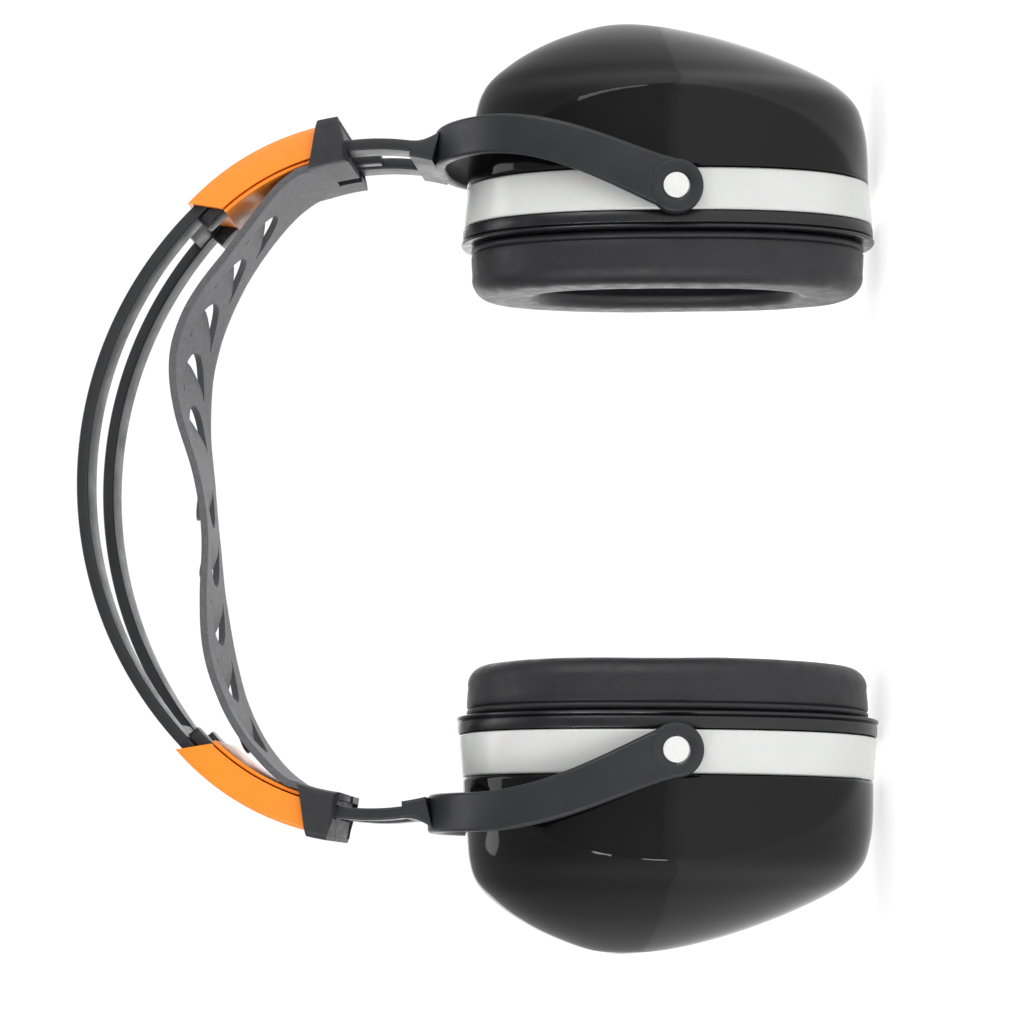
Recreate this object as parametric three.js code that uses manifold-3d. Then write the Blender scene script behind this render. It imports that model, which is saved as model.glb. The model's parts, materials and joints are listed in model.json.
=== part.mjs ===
// Earmuff hearing protector: two cups on yokes that slide in a twin-rail headband.
// Millimetres. X runs through both cups (+X is the wearer's left), Y is front to back
// (-Y is the front), Z is up. The origin is midway between the two cup pivots.
import * as THREE from "three";
import { mergeVertices } from "three/addons/utils/BufferGeometryUtils.js";
import Module from "manifold-3d";

const wasm = await Module();
wasm.setup();

const degrees = (value) => (value * Math.PI) / 180;
const GAP = 0.3;
// How far a cut runs past the face it opens, in millimetres and as a turn.
const CUT_PAST = 1;
const TURN_PAST = 0.2;

// How many steps each swept piece has along its length, and round its turned parts.
const BAND_STEPS = 32;
const CROSSPIECE_STEPS = 2;
const SLIDER_STEPS = 10;
const COVER_STEPS = 9;
const CATCH_STEPS = 5;
const STRAP_STEPS = 40;
const SLEEVE_STEPS = 5;
const HOLLOW_STEPS = 6;
const NOTCH_STEPS = 3;
const FORK_STEPS = 26;
const STEM_STEPS = 13;
const WEB_STEPS = 4;
const EYE_SEGMENTS = 18;
const PIN_SEGMENTS = 16;

// Headband: a crown arc that runs into a tighter arc on each side.
const CROWN_RADIUS = 101;
const SIDE_RADIUS = 64.4;
const CROWN_CENTRE_Z = 48.6;
const JOIN_ANGLE = degrees(44);
const SIDE_CENTRE_X = (CROWN_RADIUS - SIDE_RADIUS) * Math.sin(JOIN_ANGLE);
const SIDE_CENTRE_Z = CROWN_CENTRE_Z + (CROWN_RADIUS - SIDE_RADIUS) * Math.cos(JOIN_ANGLE);
const TOE_IN = degrees(4.2);
const RAIL_THICKNESS = 2.9;
const RAIL_WIDTH = 9.5;
const RAIL_GAP = 17;
const RAIL_INNER_Y = RAIL_GAP / 2;
const RAIL_OUTER_Y = RAIL_INNER_Y + RAIL_WIDTH;
const RAIL_BEVEL = 0.5;
const BAND_END = degrees(79.4);
const CROSSPIECE_START = degrees(39.6);
const CROSSPIECE_END = degrees(43.2);
const CROSSPIECE_INSET = 0.3;
const CROSSPIECE_LAP = 1;

// Height adjuster: heights are measured outwards from the band's outer face.
const SLIDER_START = degrees(42);
const SLIDER_INNER_START = degrees(47);
const SLIDER_END = degrees(79.8);
const SLIDER_HALF_WIDTH = 20;
const SLIDER_BEVEL = 0.9;
const SLIDER_TOP = 1.3;
const CHANNEL_TOP = GAP;
const STEM_TOP = -RAIL_THICKNESS - GAP;
const STEM_BOTTOM = STEM_TOP - RAIL_THICKNESS;
const HOUSING_BOTTOM = STEM_BOTTOM;
const COVER_TOP = HOUSING_BOTTOM - GAP;
const COVER_BOTTOM = COVER_TOP - 1;
const COVER_HALF_WIDTH = SLIDER_HALF_WIDTH - 0.6;
const CATCH_START = degrees(70);
const CATCH_END = degrees(88.5);
const CATCH_LEFT = 2.6;
const CATCH_RIGHT = 7;
const CATCH_THICKNESS = 2.6;
const CATCH_CLEARANCE = degrees(0.6);

// Head strap, soft, with a closed sleeve round each adjuster.
const STRAP_THICKNESS = 1.7;
const STRAP_HALF_WIDTH = 19;
const STRAP_TOP = COVER_BOTTOM - GAP;
const STRAP_BOTTOM = STRAP_TOP - STRAP_THICKNESS;
const STRAP_BEVEL = 0.4;
const STRAP_END_ANGLES = [68, 71, 74].map(degrees);
const TOE_REACH = 1.6;
const STRAP_SPREAD = 0.08;
const SPREAD_START = 0.6;
const SPREAD_END = 0.94;
const SLEEVE_INNER_START = degrees(71.7);
const SLEEVE_INNER_END = degrees(83);
const SLEEVE_OUTER_START = degrees(77);
const SLEEVE_OUTER_END = degrees(81.4);
const SLEEVE_TOP = SLIDER_TOP + GAP + 1;
const SLEEVE_HALF_WIDTH = SLIDER_HALF_WIDTH + GAP + STRAP_THICKNESS;
const SLEEVE_BEVEL = 1.2;
const END_WALL_START = degrees(80.15);
const END_WALL_END = degrees(81.35);
const HOLLOW_START = degrees(66);
const NOTCH_START = degrees(76.5);
const NOTCH_LEFT = CATCH_LEFT - 0.5;
const NOTCH_RIGHT = CATCH_RIGHT + 0.8;
const PAST_SLEEVE = degrees(90);

// Yoke: a stem in the adjuster, and a fork round the cup.
const PIVOT_X = 70.1;
const STEM_TIP = degrees(41);
const STEM_END = degrees(103.8);
const WEB_START = degrees(98.4);
const WEB_END = STEM_END + degrees(0.6);
const WEB_BOTTOM = STEM_BOTTOM - 1.2;
const WEB_BEVEL = 0.6;
const WEB_SWELL = 3.6;
const FORK_HALF_DEPTH = 37.2;
const FORK_HEIGHT = 58.6;
const FORK_EXPONENT = 2.7;
const FORK_THICKNESS = 2.8;
const FORK_WIDTH = 9.4;
const FORK_OFFSET = 14.6;
const FORK_RISE = 48;
const FORK_BOW = 1.15;
const FORK_BEVEL = 0.9;
const EYE_RADIUS = 6.6;
const PIN_RADIUS = 3.15;
const EYE_HOLE_RADIUS = PIN_RADIUS + GAP;
const EYE_FACE = FORK_HALF_DEPTH + FORK_THICKNESS + 0.4;
const EYE_BEVEL = 0.6;
const ARM_FLARE = EYE_RADIUS / (FORK_WIDTH / 2) - 1;
const ARM_FLARE_POWER = 1.5;
const PIN_TIP = EYE_FACE - GAP;
const PIN_BEVEL = 0.4;
const PIN_HEAD_RADIUS = PIN_RADIUS + 1.2;
const PIN_HEAD_THICKNESS = 1.5;

// Cup: x is measured outwards from the pivot, and each level is one outline.
const CUP_CENTRE_Z = 1.9;
const CUP_HALF_LENGTH = 52.4;
const CUP_HALF_DEPTH = 35.5;
const CUP_EXPONENT = 2.4;
const DOME_EXPONENT = 2;
const CUSHION_FACE = -23.5;
const CUSHION_BACK = -9.8;
const PLATE_BACK = -9.5;
const PLATE_FRONT = -5.35;
const RING_BACK = -5.05;
const RING_FRONT = 5.35;
const SHELL_BACK = 5.65;
const RING_WALL = 3.4;
const RING_TAPER = 1;
const PIN_SEAT = CUP_HALF_DEPTH - RING_WALL - 1.3;
const SHELL_WALL = 2.2;
const DOME_WALL = 2.6;
const BEAD = 0.5;
const CUSHION_HALF_LENGTH = 50.8;
const CUSHION_HALF_DEPTH = 34.2;
const CUSHION_ROUNDING = 4.4;
const SKIN = 1.5;
const EAR_HALF_LENGTH = 31.5;
const EAR_HALF_DEPTH = 17.6;
const LINER_HALF_LENGTH = 48.2;
const LINER_HALF_DEPTH = 28.4;
const SEEN_AROUND = 28;
const HIDDEN_AROUND = 20;

function solidOf(geometry) {
  const bare = geometry.index ? geometry.toNonIndexed() : geometry.clone();
  bare.deleteAttribute("normal");
  bare.deleteAttribute("uv");
  const merged = mergeVertices(bare, 1e-4);
  const mesh = new wasm.Mesh({
    numProp: 3,
    vertProperties: new Float32Array(merged.attributes.position.array),
    triVerts: new Uint32Array(merged.index.array),
  });
  return new wasm.Manifold(mesh);
}

function geometryOf(solid) {
  const mesh = solid.getMesh();
  const geometry = new THREE.BufferGeometry();
  geometry.setAttribute("position", new THREE.BufferAttribute(mesh.vertProperties, 3));
  geometry.setIndex(new THREE.BufferAttribute(mesh.triVerts, 1));
  geometry.computeVertexNormals();
  return geometry;
}

function join(...solids) {
  return solids.reduce((whole, piece) => whole.add(piece));
}

function cut(solid, ...tools) {
  return tools.reduce((rest, tool) => rest.subtract(tool), solid);
}

// How much of the toe-in a place on the band has: none at the crown, all of it at the sides.
function toeShare(angle) {
  const share = (1 - Math.cos(angle)) / (1 - Math.cos(JOIN_ANGLE));
  return Math.min(share, 1);
}

// A point of the headband: angle from straight up, y across, height above the outer face.
function bandPoint(angle, y, height) {
  const side = Math.sign(angle) || 1;
  const turn = Math.abs(angle);
  const onCrown = turn <= JOIN_ANGLE;
  const centreX = onCrown ? 0 : SIDE_CENTRE_X;
  const centreZ = onCrown ? CROWN_CENTRE_Z : SIDE_CENTRE_Z;
  const toe = y * Math.tan(TOE_IN) * toeShare(turn);
  const radius = (onCrown ? CROWN_RADIUS : SIDE_RADIUS) + height + toe;
  const x = side * (centreX + radius * Math.sin(turn));
  return new THREE.Vector3(x, y, centreZ + radius * Math.cos(turn));
}

// A point of an adjuster or a stem: the side arc carried on to any angle.
function sidePoint(angle, y, height) {
  const radius = SIDE_RADIUS + height + y * Math.tan(TOE_IN);
  const x = SIDE_CENTRE_X + radius * Math.sin(angle);
  return new THREE.Vector3(x, y, SIDE_CENTRE_Z + radius * Math.cos(angle));
}

// A rectangle with bevelled corners: x across, y outwards.
function bevelledPlate(left, right, bottom, top, bevel) {
  return new THREE.Shape([
    new THREE.Vector2(left + bevel, bottom),
    new THREE.Vector2(right - bevel, bottom),
    new THREE.Vector2(right, bottom + bevel),
    new THREE.Vector2(right, top - bevel),
    new THREE.Vector2(right - bevel, top),
    new THREE.Vector2(left + bevel, top),
    new THREE.Vector2(left, top - bevel),
    new THREE.Vector2(left, bottom + bevel),
  ]);
}

// A plain rectangle, for cuts and hidden pieces.
function plainPlate(left, right, bottom, top) {
  return new THREE.Shape([
    new THREE.Vector2(left, bottom),
    new THREE.Vector2(right, bottom),
    new THREE.Vector2(right, top),
    new THREE.Vector2(left, top),
  ]);
}

// Sweeps a section along a route: place(along, across, height) gives each point.
function sweep(section, place, start, end, steps) {
  const geometry = new THREE.ExtrudeGeometry(section, { depth: 1, steps, bevelEnabled: false });
  const points = geometry.attributes.position;
  for (let i = 0; i < points.count; i += 1) {
    const across = points.getX(i);
    const height = points.getY(i);
    const from = typeof start === "function" ? start(height) : start;
    const to = typeof end === "function" ? end(height) : end;
    const point = place(from + (to - from) * points.getZ(i), across, height);
    points.setXYZ(i, point.x, point.y, point.z);
  }
  return solidOf(geometry);
}

// A straight blend between the value at one height and the value at another.
function slant(bottom, atBottom, top, atTop) {
  return (height) => atBottom + ((atTop - atBottom) * (height - bottom)) / (top - bottom);
}

// Two parallel rails, the same distance front and back of the middle.
function railPair(place, bottom, top, start, end, steps) {
  const far = bevelledPlate(RAIL_INNER_Y, RAIL_OUTER_Y, bottom, top, RAIL_BEVEL);
  const near = bevelledPlate(-RAIL_OUTER_Y, -RAIL_INNER_Y, bottom, top, RAIL_BEVEL);
  return [near, far].map((section) => sweep(section, place, start, end, steps));
}

function bandFrame() {
  const rails = railPair(bandPoint, -RAIL_THICKNESS, 0, -BAND_END, BAND_END, BAND_STEPS);
  const reach = RAIL_INNER_Y + CROSSPIECE_LAP;
  const bottom = CROSSPIECE_INSET - RAIL_THICKNESS;
  const section = plainPlate(-reach, reach, bottom, -CROSSPIECE_INSET);
  const crosspiece = (start, end) => sweep(section, bandPoint, start, end, CROSSPIECE_STEPS);
  const left = crosspiece(CROSSPIECE_START, CROSSPIECE_END);
  const right = crosspiece(-CROSSPIECE_END, -CROSSPIECE_START);
  return join(...rails, left, right);
}

function sliderHousing() {
  const inner = slant(HOUSING_BOTTOM, SLIDER_INNER_START, SLIDER_TOP, SLIDER_START);
  const half = SLIDER_HALF_WIDTH;
  const outline = bevelledPlate(-half, half, HOUSING_BOTTOM, SLIDER_TOP, SLIDER_BEVEL);
  const body = sweep(outline, sidePoint, inner, SLIDER_END, SLIDER_STEPS);
  const low = HOUSING_BOTTOM - CUT_PAST;
  const tunnel = (left, right, top, start) =>
    sweep(plainPlate(left, right, low, top), sidePoint, start, SLIDER_END + TURN_PAST, SLIDER_STEPS);
  const open = SLIDER_START - TURN_PAST;
  const near = tunnel(-RAIL_OUTER_Y - GAP, -RAIL_INNER_Y + GAP, CHANNEL_TOP, open);
  const far = tunnel(RAIL_INNER_Y - GAP, RAIL_OUTER_Y + GAP, CHANNEL_TOP, open);
  const pocketStart = CATCH_START - CATCH_CLEARANCE;
  const pocket = tunnel(CATCH_LEFT - GAP, CATCH_RIGHT + GAP, STEM_TOP + GAP, pocketStart);
  return cut(body, near, far, pocket);
}

function sliderCover() {
  const section = plainPlate(-COVER_HALF_WIDTH, COVER_HALF_WIDTH, COVER_BOTTOM, COVER_TOP);
  return sweep(section, sidePoint, SLIDER_INNER_START, SLIDER_END, COVER_STEPS);
}

function heightCatch() {
  const section = plainPlate(CATCH_LEFT, CATCH_RIGHT, STEM_TOP - CATCH_THICKNESS, STEM_TOP);
  return sweep(section, sidePoint, CATCH_START, CATCH_END, CATCH_STEPS);
}

// The strap's middle line, from the right adjuster over the head to the left one.
function strapRoute() {
  const middle = (STRAP_TOP + STRAP_BOTTOM) / 2;
  const leftEnd = STRAP_END_ANGLES.map((angle) => sidePoint(angle, 0, middle));
  const rightEnd = leftEnd.map((point) => new THREE.Vector3(-point.x, 0, point.z)).reverse();
  const free = [
    [-73, 101],
    [-65.5, 107.2],
    [-56, 112.2],
    [-44, 115.9],
    [-30, 117.8],
    [-15, 118.7],
    [0, 120.8],
    [15, 124],
    [28, 124.8],
    [38, 122.9],
    [47, 119.1],
    [57, 113],
    [66, 106.7],
    [73, 101],
  ].map(([x, z]) => new THREE.Vector3(x, 0, z));
  return new THREE.CatmullRomCurve3([...rightEnd, ...free, ...leftEnd], false, "centripetal");
}

// The strap's surface: it takes up the toe-in and widens towards its ends, by the adjusters.
function strapPlace(route) {
  const sideways = new THREE.Vector3(0, 1, 0);
  return (along, across, height) => {
    const point = route.getPointAt(along);
    const outward = route.getTangentAt(along).cross(sideways);
    const fromMiddle = Math.abs(2 * along - 1);
    const share = Math.min(fromMiddle * TOE_REACH, 1);
    const spread = STRAP_SPREAD * THREE.MathUtils.smoothstep(fromMiddle, SPREAD_START, SPREAD_END);
    const y = across * (1 + spread);
    const toe = y * Math.tan(TOE_IN) * share * share;
    return point.addScaledVector(outward, height + toe).setY(y);
  };
}

function headStrap() {
  const route = strapRoute();
  const place = strapPlace(route);
  const half = STRAP_THICKNESS / 2;
  const section = bevelledPlate(-STRAP_HALF_WIDTH, STRAP_HALF_WIDTH, -half, half, STRAP_BEVEL);
  const strip = sweep(section, place, 0, 1, STRAP_STEPS);
  const sleeve = strapSleeve();
  return join(strip, sleeve, sleeve.mirror([1, 0, 0]));
}

// The loop that holds the strap's end on an adjuster, with an end wall the stems pass through.
function strapSleeve() {
  const start = slant(STRAP_BOTTOM, SLEEVE_INNER_START, SLEEVE_TOP, SLEEVE_OUTER_START);
  const end = slant(STRAP_BOTTOM, SLEEVE_INNER_END, SLEEVE_TOP, SLEEVE_OUTER_END);
  const half = SLEEVE_HALF_WIDTH;
  const outside = bevelledPlate(-half, half, STRAP_BOTTOM, SLEEVE_TOP, SLEEVE_BEVEL);
  const body = sweep(outside, sidePoint, start, end, SLEEVE_STEPS);
  const clear = SLIDER_HALF_WIDTH + GAP;
  const inside = plainPlate(-clear, clear, STRAP_TOP, SLIDER_TOP + GAP);
  const hollow = sweep(inside, sidePoint, HOLLOW_START, PAST_SLEEVE, HOLLOW_STEPS);
  return join(cut(body, hollow, strapNotch()), sleeveEndWall(clear));
}

function sleeveEndWall(reach) {
  const lap = GAP;
  const section = plainPlate(-reach - lap, reach + lap, STRAP_TOP - lap, SLIDER_TOP + GAP + lap);
  const plate = sweep(section, sidePoint, END_WALL_START, END_WALL_END, 1);
  const low = STEM_BOTTOM - GAP;
  const high = STEM_TOP + GAP;
  const spans = [
    [-RAIL_OUTER_Y - GAP, -RAIL_INNER_Y + GAP],
    [CATCH_LEFT - GAP, CATCH_RIGHT + GAP],
    [RAIL_INNER_Y - GAP, RAIL_OUTER_Y + GAP],
  ];
  const windows = spans.map(([left, right]) =>
    sweep(plainPlate(left, right, low, high), sidePoint, SLIDER_END, PAST_SLEEVE, NOTCH_STEPS));
  return cut(plate, ...windows);
}

// The notch in a sleeve's floor, where the height catch shows.
function strapNotch() {
  const slot = plainPlate(NOTCH_LEFT, NOTCH_RIGHT, STRAP_BOTTOM - CUT_PAST, 0);
  return sweep(slot, sidePoint, NOTCH_START, PAST_SLEEVE, NOTCH_STEPS);
}

// The fork's route, from -1 at the front eye over the cup's top to 1 at the rear. Its arms
// widen to the eyes.
function forkPoint(along, across, height) {
  const turn = along * (Math.PI / 2);
  const power = 2 / FORK_EXPONENT;
  const steep = FORK_EXPONENT - 1;
  const sine = Math.sin(turn);
  const y = FORK_HALF_DEPTH * Math.sign(sine) * Math.abs(sine) ** power;
  const z = FORK_HEIGHT * Math.abs(Math.cos(turn)) ** power;
  const slopeY = (Math.sign(y) * (Math.abs(y) / FORK_HALF_DEPTH) ** steep) / FORK_HALF_DEPTH;
  const slopeZ = (z / FORK_HEIGHT) ** steep / FORK_HEIGHT;
  const outward = new THREE.Vector2(slopeY, slopeZ).normalize();
  const rise = Math.min(z / FORK_RISE, 1);
  const x = FORK_OFFSET * Math.sin((rise * Math.PI) / 2) ** FORK_BOW;
  const wide = 1 + ARM_FLARE * (1 - rise) ** ARM_FLARE_POWER;
  return new THREE.Vector3(x - across * wide, y + height * outward.x, z + height * outward.y);
}

// The eye round a pivot pin, at the rear for side 1 and at the front for side -1.
function eyeAt(side) {
  const profile = [
    new THREE.Vector2(EYE_HOLE_RADIUS, FORK_HALF_DEPTH),
    new THREE.Vector2(EYE_RADIUS, FORK_HALF_DEPTH),
    new THREE.Vector2(EYE_RADIUS, EYE_FACE - EYE_BEVEL),
    new THREE.Vector2(EYE_RADIUS - EYE_BEVEL, EYE_FACE),
    new THREE.Vector2(EYE_HOLE_RADIUS, EYE_FACE),
    new THREE.Vector2(EYE_HOLE_RADIUS, FORK_HALF_DEPTH),
  ];
  const ring = solidOf(new THREE.LatheGeometry(profile, EYE_SEGMENTS));
  return side > 0 ? ring : ring.mirror([0, 1, 0]);
}

// Clears the arm's flat ends away from inside the eyes.
function eyeClearance() {
  const reach = 2 * (EYE_FACE + CUT_PAST);
  const radius = EYE_HOLE_RADIUS + 1;
  return solidOf(new THREE.CylinderGeometry(radius, radius, reach, EYE_SEGMENTS));
}

function fork() {
  const half = FORK_WIDTH / 2;
  const section = bevelledPlate(-half, half, 0, FORK_THICKNESS, FORK_BEVEL);
  const arms = cut(sweep(section, forkPoint, -1, 1, FORK_STEPS), eyeClearance());
  const whole = join(arms, eyeAt(1), eyeAt(-1));
  const turn = (-TOE_IN * 180) / Math.PI;
  return whole.rotate([0, 0, turn]).translate([PIVOT_X, 0, 0]);
}

// Two stem rails and the web that joins them to the fork, swelling out to meet its crown.
function yoke() {
  const rails = railPair(sidePoint, STEM_BOTTOM, STEM_TOP, STEM_TIP, STEM_END, STEM_STEPS);
  const section = bevelledPlate(-RAIL_OUTER_Y, RAIL_OUTER_Y, WEB_BOTTOM, STEM_TOP, WEB_BEVEL);
  const swelling = (angle, y, height) => {
    const share = (angle - WEB_START) / (WEB_END - WEB_START);
    const swell = height > STEM_BOTTOM ? WEB_SWELL * share * share : 0;
    return sidePoint(angle, y, height + swell);
  };
  const web = sweep(section, swelling, WEB_START, WEB_END, WEB_STEPS);
  return join(...rails, web, fork());
}

// A closed loft of cup outlines. Each level is [x, lowest z, highest z, half depth].
function cupLoft(levels, around = SEEN_AROUND, exponent = CUP_EXPONENT) {
  const rows = levels.length - 1;
  const geometry = new THREE.CylinderGeometry(1, 1, rows, around, rows);
  const points = geometry.attributes.position;
  const bend = (value) => Math.sign(value) * Math.abs(value) ** (2 / exponent);
  for (let i = 0; i < points.count; i += 1) {
    const [x, low, high, depth] = levels[Math.round(points.getY(i) + rows / 2)];
    const z = (low + high) / 2 + ((high - low) / 2) * bend(points.getX(i));
    points.setXYZ(i, x, depth * bend(points.getZ(i)), z);
  }
  return solidOf(geometry);
}

// An outline level centred on the cup, given by its two half sizes.
function level(x, halfLength, halfDepth) {
  return [x, CUP_CENTRE_Z - halfLength, CUP_CENTRE_Z + halfLength, halfDepth];
}

// The dome, deeper and rounder than the wall below it, so that the two meet in an arched crease.
const DOME = [
  [SHELL_BACK, -49.4, 53.2, 42.9],
  [14, -49.2, 52.8, 39.7],
  [20, -48.6, 52.1, 37.2],
  [25.5, -46.9, 51.5, 34.4],
  [30, -43, 50.2, 30],
  [35, -34.4, 46, 25],
  [40, -23, 39.4, 19.2],
  [44, -11.6, 31.6, 13],
  [47, 0.6, 23, 6.6],
  [48.2, 8.6, 17, 2.4],
];

// The inside of the dome needs fewer levels than its outside.
const DOME_INSIDE = [DOME[0], DOME[3], DOME[5], DOME[6], DOME[7]];

// The straight, slightly drawn-in wall that limits the dome.
function wall(inset) {
  const length = CUP_HALF_LENGTH - 1.1 - inset;
  const depth = CUP_HALF_DEPTH - 0.5 - inset;
  const foot = level(SHELL_BACK - 3, length + 0.1, depth + 0.1);
  return cupLoft([foot, level(50, length - 0.6, depth - 1.2)]);
}

function cupShell() {
  const outside = cupLoft(DOME, SEEN_AROUND, DOME_EXPONENT).intersect(wall(0));
  const thinned = DOME_INSIDE.map(([x, low, high, depth]) => [
    x - SHELL_WALL - 0.2,
    low + DOME_WALL,
    high - DOME_WALL,
    depth - DOME_WALL,
  ]);
  const inside = cupLoft(thinned, SEEN_AROUND, DOME_EXPONENT).intersect(wall(SHELL_WALL));
  return cut(outside, inside);
}

// The white ring, with a bore at the front and rear for the pivot pins.
function pivotRing() {
  const outside = cupLoft([
    level(RING_BACK, CUP_HALF_LENGTH, CUP_HALF_DEPTH),
    level(RING_FRONT, CUP_HALF_LENGTH - RING_TAPER, CUP_HALF_DEPTH - RING_TAPER),
  ]);
  const length = CUP_HALF_LENGTH - RING_WALL;
  const depth = CUP_HALF_DEPTH - RING_WALL;
  const inside = cupLoft([
    level(RING_BACK - CUT_PAST, length, depth),
    level(RING_FRONT + CUT_PAST, length - RING_TAPER, depth - RING_TAPER),
  ]);
  const reach = 2 * (CUP_HALF_DEPTH + CUT_PAST);
  const radius = PIN_RADIUS + GAP;
  const bore = solidOf(new THREE.CylinderGeometry(radius, radius, reach, PIN_SEGMENTS));
  return cut(outside, inside, bore);
}

// A headed pin: the shank crosses the fork's eye, and the head sits inside the ring.
function pivotPin(side) {
  const profile = [
    new THREE.Vector2(0, PIN_SEAT - PIN_HEAD_THICKNESS),
    new THREE.Vector2(PIN_HEAD_RADIUS, PIN_SEAT - PIN_HEAD_THICKNESS),
    new THREE.Vector2(PIN_HEAD_RADIUS, PIN_SEAT),
    new THREE.Vector2(PIN_RADIUS, PIN_SEAT),
    new THREE.Vector2(PIN_RADIUS, PIN_TIP - PIN_BEVEL),
    new THREE.Vector2(PIN_RADIUS - PIN_BEVEL, PIN_TIP),
    new THREE.Vector2(0, PIN_TIP),
  ];
  const pin = solidOf(new THREE.LatheGeometry(profile, PIN_SEGMENTS));
  return side > 0 ? pin : pin.mirror([0, 1, 0]);
}

// The black rim between cushion and ring, with a bead round its edge.
function basePlate() {
  const middle = (PLATE_BACK + PLATE_FRONT) / 2;
  const outside = cupLoft([
    level(PLATE_BACK, CUP_HALF_LENGTH - 1, CUP_HALF_DEPTH - 1),
    level(middle - 1, CUP_HALF_LENGTH + BEAD, CUP_HALF_DEPTH + BEAD),
    level(middle + 1, CUP_HALF_LENGTH + BEAD, CUP_HALF_DEPTH + BEAD),
    level(PLATE_FRONT, CUP_HALF_LENGTH, CUP_HALF_DEPTH),
  ]);
  const opening = cupLoft([
    level(PLATE_BACK - CUT_PAST, EAR_HALF_LENGTH + 1, EAR_HALF_DEPTH + 1),
    level(PLATE_FRONT + CUT_PAST, EAR_HALF_LENGTH + 1, EAR_HALF_DEPTH + 1),
  ]);
  return cut(outside, opening);
}

// The cushion's form, drawn in by an inset, and the ear opening, drawn out by it.
function cushionForm(face, back, inset) {
  const length = CUSHION_HALF_LENGTH - inset;
  const depth = CUSHION_HALF_DEPTH - inset;
  const round = (x, drop) => level(x, length - drop, depth - drop);
  const outside = cupLoft([
    round(face, CUSHION_ROUNDING),
    round(face + 1.4, 1.6),
    round(face + 4.6, 0),
    round(back, 0.6),
  ]);
  const earLength = EAR_HALF_LENGTH + inset;
  const earDepth = EAR_HALF_DEPTH + inset;
  const hole = (x, flare) => level(x, earLength + flare, earDepth + flare);
  const opening = cupLoft([hole(face - 1, 2.6), hole(face + 1.6, 0.4), hole(back + 1, 0)]);
  return cut(outside, opening);
}

// The skin is open at the back, where the foam ring fills it.
function earCushion() {
  const hollow = cushionForm(CUSHION_FACE + SKIN, CUSHION_BACK + 2, SKIN);
  return cut(cushionForm(CUSHION_FACE, CUSHION_BACK, 0), hollow);
}

function cushionFoam() {
  return cushionForm(CUSHION_FACE + SKIN + GAP, CUSHION_BACK, SKIN + GAP);
}

// A foam bowl inside the cup, hollow where the ear goes.
function foamLiner() {
  const bowl = cupLoft([
    level(RING_BACK + GAP, LINER_HALF_LENGTH, LINER_HALF_DEPTH),
    level(17, LINER_HALF_LENGTH - 2.6, LINER_HALF_DEPTH - 0.8),
    [27, -33, 45, 21],
    [33, -18, 36, 13],
  ], HIDDEN_AROUND);
  const hollow = cupLoft([
    level(RING_BACK - 1, EAR_HALF_LENGTH + 3, EAR_HALF_DEPTH + 3),
    level(19, EAR_HALF_LENGTH - 9, EAR_HALF_DEPTH - 6),
    level(21, EAR_HALF_LENGTH - 17, EAR_HALF_DEPTH - 10),
  ], HIDDEN_AROUND);
  return cut(bowl, hollow);
}

const blackSatin = { color: 0x2a2b2f, roughness: 0.42, metalness: 0 };
const blackGloss = { color: 0x08080a, roughness: 0.08, metalness: 0 };
const orangeSatin = { color: 0xff7d14, roughness: 0.35, metalness: 0 };
const whiteGloss = { color: 0xe2e4e2, roughness: 0.22, metalness: 0 };
const strapGrey = { color: 0x4a4a4d, roughness: 0.85, metalness: 0 };
const cushionBlack = { color: 0x17171a, roughness: 0.6, metalness: 0 };
const foamGrey = { color: 0x55565a, roughness: 1, metalness: 0 };

function piece(name, solid, finish) {
  const mesh = new THREE.Mesh(geometryOf(solid), new THREE.MeshStandardMaterial(finish));
  mesh.name = name;
  return mesh;
}

function cup(side) {
  const pieces = new THREE.Group();
  pieces.add(
    piece(`${side}_cup_shell`, cupShell(), blackGloss),
    piece(`${side}_pivot_ring`, pivotRing(), whiteGloss),
    piece(`${side}_front_pivot_pin`, pivotPin(-1), whiteGloss),
    piece(`${side}_rear_pivot_pin`, pivotPin(1), whiteGloss),
    piece(`${side}_base_plate`, basePlate(), blackSatin),
    piece(`${side}_ear_cushion`, earCushion(), cushionBlack),
    piece(`${side}_cushion_foam`, cushionFoam(), foamGrey),
    piece(`${side}_foam_liner`, foamLiner(), foamGrey),
  );
  pieces.position.set(PIVOT_X, 0, 0);
  pieces.rotation.z = -TOE_IN;
  return pieces;
}

// One side of the headband: the right side is the left one in a mirror.
function oneSide(side) {
  const pieces = new THREE.Group();
  pieces.add(
    piece(`${side}_slider_housing`, sliderHousing(), orangeSatin),
    piece(`${side}_slider_cover`, sliderCover(), orangeSatin),
    piece(`${side}_height_catch`, heightCatch(), blackSatin),
    piece(`${side}_yoke`, yoke(), blackSatin),
    cup(side),
  );
  pieces.scale.x = side === "left" ? 1 : -1;
  return pieces;
}

const group = new THREE.Group();
group.add(
  piece("band_frame", bandFrame(), blackSatin),
  piece("head_strap", headStrap(), strapGrey),
  oneSide("left"),
  oneSide("right"),
);

export default group;
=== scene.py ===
import json
import math

import bmesh
import bpy
from mathutils import Matrix, Vector, noise


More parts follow.
